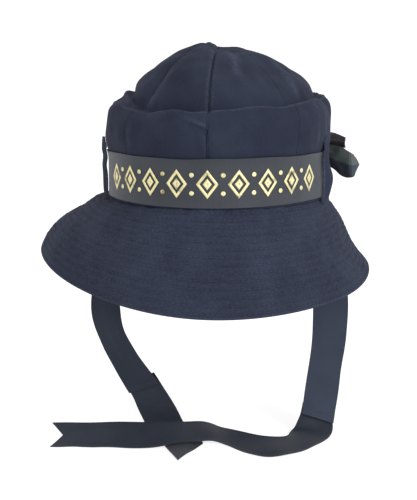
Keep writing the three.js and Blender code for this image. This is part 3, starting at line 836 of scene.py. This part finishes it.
gilt_rings = []
for number in range(LOZENGES):
    arc = (number - (LOZENGES - 1) / 2) * LOZENGE_PITCH
    gilt_rings.append(
        gilt_ring(arc, ORNAMENT_Z, LOZENGE_HALF_WIDTH, LOZENGE_HALF_HEIGHT, LOZENGE_HOLE, 1)
    )
    gilt_rings.append(gilt_ring(
        arc, ORNAMENT_Z, LOZENGE_HALF_WIDTH * HEART_SHARE, LOZENGE_HALF_HEIGHT * HEART_SHARE, POINT_SIZE, 1
    ))
    for rise in (-DOT_RISE, DOT_RISE):
        if number < LOZENGES - 1:
            gilt_rings.append(gilt_ring(
                arc + LOZENGE_PITCH / 2, ORNAMENT_Z + rise, DOT_RADIUS, DOT_RADIUS, POINT_SIZE, 2
            ))

# Gilt thread: flat metal strip wound on yellow silk, a soft broken gold, dark where the gilding has gone.
# Its strips of about 0.3 mm are drawn at 0.8 mm so that they show.
STRIP_PITCH = 0.8 * MM
RUB_SIZE = 5 * MM
gilt_thread, gilt_shader = new_material("gilt_thread", Metallic=0.55, Roughness=0.42)
gilt_solid = add_node(gilt_thread, "ShaderNodeTexCoord").outputs["Object"]
gilt_strips = add_node(
    gilt_thread, "ShaderNodeTexWave", {"bands_direction": "Z"},
    {"Vector": gilt_solid, "Scale": np.pi / 10 / STRIP_PITCH, "Distortion": 1, "Detail": 1},
).outputs["Fac"]
gilt_rub = mottle(gilt_thread, RUB_SIZE, detail=6)
gilt_colour = tint(gilt_thread, gilt_rub, 0.52, 0.72, GILT, GILT_RUBBED)
dress(gilt_thread, gilt_shader, gilt_colour, gilt_strips, 0.6, 0.15 * MM)

gilt_rings = np.array(gilt_rings)
gilt_faces = loop_faces(*gilt_rings.shape[1:3], closed_path=True)
ornament = thread_piece("band_ornament", gilt_rings, gilt_faces, gilt_thread)

# The carriers: two narrow strips of the gaberdine, folded to double cloth, that hold the band.
# Each is tacked to the crown above the band, stands off over the ribbon, and is sewn into the brim seam.
CARRIER_ANGLES = {"left": np.radians(-77.5), "right": np.radians(70)}
CARRIER_WIDTH = 7
CARRIER_CLOTH = 1.5
CARRIER_FOOT_STAND_OFF = 2
CARRIER_FOOT_LEAN = 1
# Each row: a height, how far the front edge stands off the crown, and how much further the back edge leans.
CARRIER_PATHS = {
    "left": [
        (41.5, 0.2, 0.8),
        (38, 0.2, 1.6),
        (34.6, 0.3, 2.6),
        (32.4, 1.4, 2.2),
        (27, 1.5, 2.4),
        (22, 2.2, 2.2),
        (15, 1.5, 2.6),
        (5, 1.5, 2.4),
    ],
    "right": [
        (43, 0.3, 0.2),
        (38, 0.4, 0.5),
        (33.5, 1.7, 1),
        (24, 1.9, 2.4),
        (15, 2.2, 4.6),
        (6, 2.2, 3.2),
    ],
}
CARRIER_ROWS = 60
CARRIER_COLUMNS = 25
CARRIER_EDGE = 0.2
CARRIER_SEAM = 0.3
CARRIER_SEAM_WIDTH = 0.06
CARRIER_GROOVE = 0.2
TACKS = 4
TACK_SPREAD = 0.36
TACK_DROP = 1.6

tack_middles = []
tack_ups = []
for side, angle in CARRIER_ANGLES.items():
    reach, _, curl, ripple = seam_values(np.array([angle]))[4:8, 0]
    foot_out = CARRIER_FOOT_STAND_OFF / (reach * (1 + 2 * curl) + 2 * np.pi * ripple)
    foot_z = brim_top(np.array([angle]), np.array([foot_out]))[0, 0, 2] + 3 * SEAM_GAP
    rows = np.array(CARRIER_PATHS[side] + [(foot_z, CARRIER_FOOT_STAND_OFF, CARRIER_FOOT_LEAN)])
    z, stand_off, lean = smooth_rows(rows, np.linspace(0, len(rows) - 1, CARRIER_ROWS)).T[..., None]
    across = np.linspace(-0.5, 0.5, CARRIER_COLUMNS)
    turn = angle + across * CARRIER_WIDTH / HEAD_HALF_LENGTH
    stand_off = stand_off + lean * (0.5 + across * np.sign(angle))
    rounding = CARRIER_EDGE * np.abs(2 * across) ** 4
    rounding = rounding + CARRIER_GROOVE * ridge(np.abs(across) - CARRIER_SEAM, CARRIER_SEAM_WIDTH)
    strip_top = oval_point(turn, wall_share(z), stand_off + CARRIER_CLOTH - rounding, z)
    strip_under = oval_point(turn, wall_share(z), stand_off + rounding, z)
    strip_weave = np.stack(np.broadcast_arrays(across * CARRIER_WIDTH, lengths_along(strip_top, 0)), -1)
    strip_wear = np.broadcast_to(np.abs(2 * across) ** 3, strip_top.shape[:2])[..., None]
    carrier = cloth_piece(
        "carrier_" + side, loop_of(strip_top, strip_under), loop_of(strip_weave, strip_weave),
        navy_gaberdine, wear_and_painted_light=loop_of(strip_wear, strip_wear),
    )
    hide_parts("band_carrier_" + side)
    tack_turn = angle + np.linspace(-TACK_SPREAD, TACK_SPREAD, TACKS) * CARRIER_WIDTH / HEAD_HALF_LENGTH
    tack_z = np.full(TACKS, rows[0, 0] - TACK_DROP)
    tack_middles.append(oval_point(tack_turn, wall_share(tack_z), rows[0, 1] + CARRIER_CLOTH, tack_z))
    tack_ups.append(oval_normal(tack_turn))
tack_middles = np.concatenate(tack_middles)
tack_ups = np.concatenate(tack_ups)
tack_along = np.broadcast_to((0.0, 0.0, 1.0), tack_ups.shape)
tacks = stitch_piece("carrier_tacks", tack_middles, tack_along, tack_ups, sewing_thread)

# The bow: the band's ends tied at the right, behind the ear, in a knot with two loops and two tails.
# It is the same ribbed silk as the band, bunched at the knot and creased down the middle of each loop.
RIBBON_THICKNESS = 0.6
RIBBON_COLUMNS = 21
RIBBON_ROWS_PER_STATION = 14
CUT_ROWS = 1 / 3
BUNCH = 0.8
BUNCH_REACH = 6
FOLD_PITCH = 4.5
FLUTTER = 0.25
FLUTTER_SIZE = 9
EDGE_CORD = 0.5
EDGE_CORD_WIDTH = 0.7
HEM_TURN = 0.15
# Painted light on the bow: how softly it changes across the crease, and the length from the knot over which
# painted shade gives way to it.
CREASE_LIGHT_BLEND = 0.6
KNOT_SHADE_REACH = 9
# Each row: the middle of the ribbon at x, y, z, the compass turn and upward tip in degrees of the line
# across it, its width, and how far its middle line is creased out.
BOW_RIBBONS = {
    "bow_loop_front": [
        (76.3, 28.9, 27.5, 150, 80, 13, 2),
        (81.8, 23.4, 25.2, 150, 80, 17.5, 2.4),
        (88.6, 18, 22.4, 150, 82, 21.8, 2.2),
        (94.4, 14.6, 20.4, 150, 84, 18, 2.6),
        (97, 17, 20.2, 150, 86, 14, 3.6),
        (94.8, 21.6, 20.6, 150, 84, 16.5, 2.2),
        (88.4, 26.6, 23, 150, 82, 17, 1.6),
        (80, 30, 26.6, 150, 80, 13, 1.6),
    ],
    "bow_loop_back": [
        (71.3, 43.6, 26, 120, 84, 13, 2),
        (71.4, 52, 24, 120, 82, 19, 2),
        (69, 62, 21, 120, 80, 23, 1.6),
        (68.6, 70, 18.5, 120, 78, 23, 1),
        (73.4, 72, 18, 120, 78, 22, 0.6),
        (77, 65, 19.6, 120, 80, 22, 1),
        (78, 55, 23, 120, 82, 17, 1.6),
        (75.2, 45, 26, 120, 84, 13, 1.6),
    ],
    "bow_tail_upper": [
        (77.6, 30.8, 37.8, 140, 80, 11.2, 0.9),
        (82.6, 28, 37.4, 132, 78, 11.4, 0.9),
        (87.2, 24.2, 36.8, 126, 76, 9.8, 0.9),
        (90.4, 19.6, 36.2, 120, 74, 7.9, 0.9),
    ],
    "bow_tail_lower": [
        (76, 37.4, 16.2, 108, 0, 11, 1),
        (75.4, 44.5, 4, 110, 2, 18, 0.6),
        (76, 55, -9, 116, 2, 24, 0),
        (78.6, 64.4, -20, 120, 0, 26, 0),
    ],
}
# How far the left edge, the middle and the right edge run on at a cut end.
BOW_ENDS = {"bow_tail_upper": (0, 0.6, 0.9), "bow_tail_lower": (0, 3, 6)}


def ribbon_grid(stations, end):
    """A ribbon's middle surface and its flat millimetres, from a table of stations.

    The middle line is smooth through the stations, and each row of points lies across it, creased out
    in a tent along the middle. The last stretch runs on to the end's cut."""
    stations = np.array(stations, float)
    last = len(stations) - 1
    place = np.linspace(0, last, last * RIBBON_ROWS_PER_STATION + 1)
    x, y, z, turn, tip, width, crease = smooth_rows(stations, place).T
    middle = np.stack([x, y, z], -1)
    turn, tip = np.radians(turn), np.radians(tip)
    across = np.stack([np.cos(tip) * np.cos(turn), np.cos(tip) * np.sin(turn), np.sin(tip)], -1)
    heading = unit(np.gradient(middle, axis=0))
    out = unit(np.cross(heading, across))
    side = np.linspace(-0.5, 0.5, RIBBON_COLUMNS)
    tent = crease[:, None] * (1 - np.abs(2 * side))
    run_on = np.interp(side, (-0.5, 0, 0.5), end) * np.clip((place - last) / CUT_ROWS + 1, 0, 1)[:, None]
    grid = (
        middle[:, None] + across[:, None] * (side * width[:, None])[..., None]
        + out[:, None] * tent[..., None] + heading[:, None] * run_on[..., None]
    )
    along = lengths_along(middle[:, None], 0)
    flat = np.stack([side * width[:, None], along + run_on], -1)
    return grid, flat


def ribbon_piece(node, grid, flat, finish, painted_light=0, hem=0):
    """A ribbon in place of a CAD node: even thickness about its middle surface, thicker at its selvedges.

    A hem of some millimetres at its end is doubled. The painted light share at each point mixes its colour
    towards the paler one."""
    from_edge = np.abs(flat[:, :1, :1]) - np.abs(flat[..., :1])
    from_end = flat[-1:, :, 1:] - flat[..., 1:]
    half = RIBBON_THICKNESS / 2 * (1 + EDGE_CORD * ridge(from_edge, EDGE_CORD_WIDTH))
    half = half + HEM_TURN * (from_end < hem)
    normal = grid_normals(grid)
    faces = loop_of(grid + normal * half, grid - normal * half)
    faces[..., 2] = np.maximum(faces[..., 2], cad_box[0][2] / MM)
    wear_and_painted_light = np.broadcast_to(painted_light, flat.shape[:2])[..., None]
    piece = cloth_piece(node + "_woven", faces, loop_of(flat, flat), finish, wear_and_painted_light=loop_of(wear_and_painted_light, wear_and_painted_light))
    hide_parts(node)
    return piece


# The bow's silk has a soft gloss. The upper half of each ribbon is mixed towards a paler greenish grey as
# painted light, and near the knot it is left dark as painted shade. The upper tail has gone brown.
BOW_SILK = {"colour": "#313842", "dark": "#282e37", "painted_light": "#424949"}
TAIL_SILK = {"colour": "#4b464b", "dark": "#393539", "painted_light": "#524d52"}
bow_silk = ribbed_silk("creased_black_silk", 0.5, RIB_PITCH, **BOW_SILK)
tail_silk = ribbed_silk("browned_black_silk", 0.5, RIB_PITCH, **TAIL_SILK)
for name, stations in BOW_RIBBONS.items():
    grid, flat = ribbon_grid(stations, BOW_ENDS.get(name, (0, 0, 0)))
    along = flat[..., 1]
    from_knot = along if name in BOW_ENDS else np.minimum(along, along[-1] - along)
    bunched = BUNCH * np.exp(-from_knot / BUNCH_REACH)
    folds = bunched * np.sin(2 * np.pi * flat[..., 0] / FOLD_PITCH)
    folds = folds + FLUTTER * unevenness(grid, FLUTTER_SIZE, seed=31)
    grid = grid + grid_normals(grid) * folds[..., None]
    # Painted light on each ribbon's upper half, held back near the knot as painted shade.
    painted_light = ease(flat[..., 0], -CREASE_LIGHT_BLEND, CREASE_LIGHT_BLEND) * ease(from_knot, 0, KNOT_SHADE_REACH)
    ribbon = ribbon_piece(name, grid, flat, tail_silk if name == "bow_tail_upper" else bow_silk, painted_light)

KNOT_ANGLE = np.radians(112)
KNOT_ROWS = 41
KNOT_COLUMNS = 64
KNOT_CORNER = 3.2
KNOT_FOLD = 0.35
KNOT_FOLD_TURNS = 9
KNOT_FOLD_SLANT = 1.2
KNOT_BARREL = 8
KNOT_END = 0.0004
KNOT_LENGTH = 12
KNOT_DEPTH = 8
knot_low, knot_high = (np.array(corner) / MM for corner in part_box("bow_knot"))
knot_middle = (knot_low + knot_high) / 2
knot_height = knot_high[2] - knot_low[2]
knot_out = oval_normal(np.array(KNOT_ANGLE))
knot_along = np.array([-knot_out[1], knot_out[0], 0])
knot_turn = np.linspace(0, 2 * np.pi, KNOT_COLUMNS, endpoint=False)
knot_up = np.linspace(-1, 1, KNOT_ROWS)[:, None]
knot_wide = np.sign(np.cos(knot_turn)) * np.abs(np.cos(knot_turn)) ** (2 / KNOT_CORNER)
knot_deep = np.sign(np.sin(knot_turn)) * np.abs(np.sin(knot_turn)) ** (2 / KNOT_CORNER)
knot_swell = np.maximum(1 - np.abs(knot_up) ** KNOT_BARREL, KNOT_END) ** 0.25
knot_waves = np.sin(KNOT_FOLD_TURNS * knot_up + KNOT_FOLD_SLANT * np.sin(knot_turn))
knot_folds = 1 - KNOT_FOLD / KNOT_DEPTH * (1 + knot_waves)
knot_points = (
    knot_middle
    + knot_along * (KNOT_LENGTH / 2 * knot_wide * knot_swell * knot_folds)[..., None]
    + knot_out * (KNOT_DEPTH / 2 * knot_deep * knot_swell * knot_folds)[..., None]
    + np.array([0, 0, 1]) * (knot_height / 2 * knot_up * np.ones_like(knot_turn))[..., None]
)
knot_weave = np.stack(np.broadcast_arrays(knot_up * knot_height / 2, knot_turn * KNOT_LENGTH / 2), -1)
knot = cloth_piece("bow_knot_wrap", knot_points, knot_weave, bow_silk)
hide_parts("bow_knot")

# The chin tapes: a length of 25 mm navy herringbone cotton tape sewn inside the crown at each side.
# They hang below the brim, and each ends in a narrow turned hem.
TIE_WIDTH = 25.4
TIE_FLUTTER = 0.35
TIE_FLUTTER_SIZE = 30
TAPE_STATIONS = {
    "chin_tape_right": [
        (70.9, -13, 20, 83, 0),
        (70.9, -13, -5, 83, 0),
        (74.5, -14, -20, 66, 0),
        (79, -17, -48, 36, 0),
        (80.5, -21, -74, 18, 4),
        (79.6, -27, -97, 20, 4),
        (76, -36, -121.5, 24, 0),
        (72, -47, -148.8, 22, -22),
    ],
    "chin_tape_left": [
        (-70.9, -13, 20, -83, 0),
        (-70.9, -13, -5, -83, 0),
        (-74.4, -14, -20, -66, 0),
        (-78, -17, -48, -42, -4),
        (-79, -20, -74, -27, -8),
        (-77, -21, -93, -22, -4),
        (-70, -22, -109, -20, 4),
        (-60.4, -23, -124.5, -22, 16),
        (-51.5, -24, -138, -18, 24),
    ],
}
# The left tape is given darker colours as painted shade.
TAPE_COLOURS_WITH_LEFT_SHADE = {
    "chin_tape_right": {"colour": "#323846", "dark": "#292f3b"},
    "chin_tape_left": {"colour": "#2a2f3c", "dark": "#232832"},
}

# Herringbone cotton tape: chevrons of fine twill in ridges along it, matt, slightly faded and uneven.
# Its real twill of about 0.6 mm is drawn at 1 mm, with ridges 4.2 mm wide. The left tape's colours are
# darker as painted shade.
CHEVRON_PITCH = 1.0 * MM
CHEVRON_WIDTH = 4.2 * MM


def herringbone(name, colour, dark):
    """Waves on the flat tape, slanted by a zigzag across it, tint and raise it, and noise fades it."""
    material, shader = new_material(
        name, Roughness=0.9, Specular_IOR_Level=0.12, Sheen_Weight=0.08, Sheen_Roughness=0.5
    )
    flat = add_node(material, "ShaderNodeUVMap", {"uv_map": "weave"}).outputs["UV"]
    axes = add_node(material, "ShaderNodeSeparateXYZ", inputs={"Vector": flat}).outputs
    zigzag = reckon(material, "PINGPONG", axes["X"], CHEVRON_WIDTH)
    slant = reckon(material, "ADD", zigzag, axes["Y"])
    twill = reckon(material, "SINE", reckon(material, "MULTIPLY", slant, 2 * np.pi / CHEVRON_PITCH))
    blend = reckon(material, "MULTIPLY_ADD", twill, 0.12, mottle(material, FADE_SIZE, detail=5))
    dress(material, shader, tint(material, blend, 0.25, 0.75, dark, colour), twill, 0.35, 0.2 * MM)
    return material


def tie_piece(name, stations, end, finish, hem=0):
    """One length of a chin tie, an even ribbon with a slight flutter, with its grid and its flat size."""
    rows = [(*station, TIE_WIDTH, 0) for station in stations]
    grid, flat = ribbon_grid(rows, end)
    flutter = TIE_FLUTTER * unevenness(grid, TIE_FLUTTER_SIZE, seed=41)
    grid = grid + grid_normals(grid) * flutter[..., None]
    piece = ribbon_piece(name, grid, flat, finish, hem=hem)
    length = flat[-1, :, 1].max()
    return piece, grid, (TIE_WIDTH * MM, length * MM)


HEM = 6
HEM_SEAM = 4.4
HEM_STITCHES = 7
for name, stations in TAPE_STATIONS.items():
    cotton = herringbone(f"herringbone_cotton_{name}", **TAPE_COLOURS_WITH_LEFT_SHADE[name])
    tape, tape_grid, tape_size = tie_piece(name, stations, (0, 0, 0), cotton, HEM)
    from_hem_end = lengths_along(tape_grid[::-1], 0)[::-1, RIBBON_COLUMNS // 2]
    hem_row = np.argmin(np.abs(from_hem_end - HEM_SEAM))
    hem_columns = np.linspace(0, RIBBON_COLUMNS - 1, HEM_STITCHES + 2)[1:-1].round().astype(int)
    hem_up = grid_normals(tape_grid)[hem_row, hem_columns]
    hem_along = np.gradient(tape_grid[hem_row], axis=0)[hem_columns]
    hem_middle = tape_grid[hem_row, hem_columns]
    for face_name, face in (("front", 1), ("back", -1)):
        hem_face = hem_middle + face * hem_up * (RIBBON_THICKNESS / 2 + HEM_TURN)
        hem_name = f"{name}_hem_{face_name}"
        hem_seam = stitch_piece(hem_name, hem_face, hem_along, face * hem_up, sewing_thread)

# The chin ribbons: a length of dark 25 mm petersham sewn behind each tape's hem.
# Their ends lie on the floor, the right one cut in a swallowtail and crossing over the left.
RIBBON_STATIONS = {
    "chin_ribbon_right": [
        (72.8, -42.1, -141.4, 23, -18),
        (71, -44.4, -150.8, 18, -14),
        (68.4, -51.4, -156, -10, -4),
        (62.4, -62, -157.3, -44, -1),
        (53, -76.6, -156.6, -76, -3),
        (38, -84, -155.2, -84, -10),
        (24, -78.5, -155.2, -83, -10),
        (9, -66, -156, -82, -5),
        (-3, -64, -153.8, -81, -6),
        (-22, -73, -151.8, -80, -13),
        (-48, -76.5, -152.8, -79, -20),
        (-76, -76.5, -153.8, -79, -17),
        (-99, -77.5, -153.8, -80, -17),
    ],
    "chin_ribbon_left": [
        (-55.4, -21.7, -130.5, -18, 22),
        (-48.2, -22.8, -142, -12, 24),
        (-40.5, -30, -152.3, 6, 14),
        (-33.5, -44, -157.2, 22, 2),
        (-25, -62, -157.4, 28, 0),
        (-15.5, -82, -157.4, 29, 0),
    ],
}
RIBBON_ENDS = {"chin_ribbon_right": (7, -1, 7), "chin_ribbon_left": (21, 10, 0)}
# Petersham: a dull, firm ribbon with cords from edge to edge, darker than the tape.
# Its real cords of about 0.7 mm are drawn at 1.1 mm so that they show.
PETERSHAM = {"colour": "#202734", "dark": "#191f2a", "painted_light": "#2b3240"}
PETERSHAM_RIB = 1.1 * MM
petersham = ribbed_silk("navy_petersham", 0.7, PETERSHAM_RIB, **PETERSHAM)
for name, stations in RIBBON_STATIONS.items():
    tie, _, tie_size = tie_piece(name, stations, RIBBON_ENDS[name], petersham)
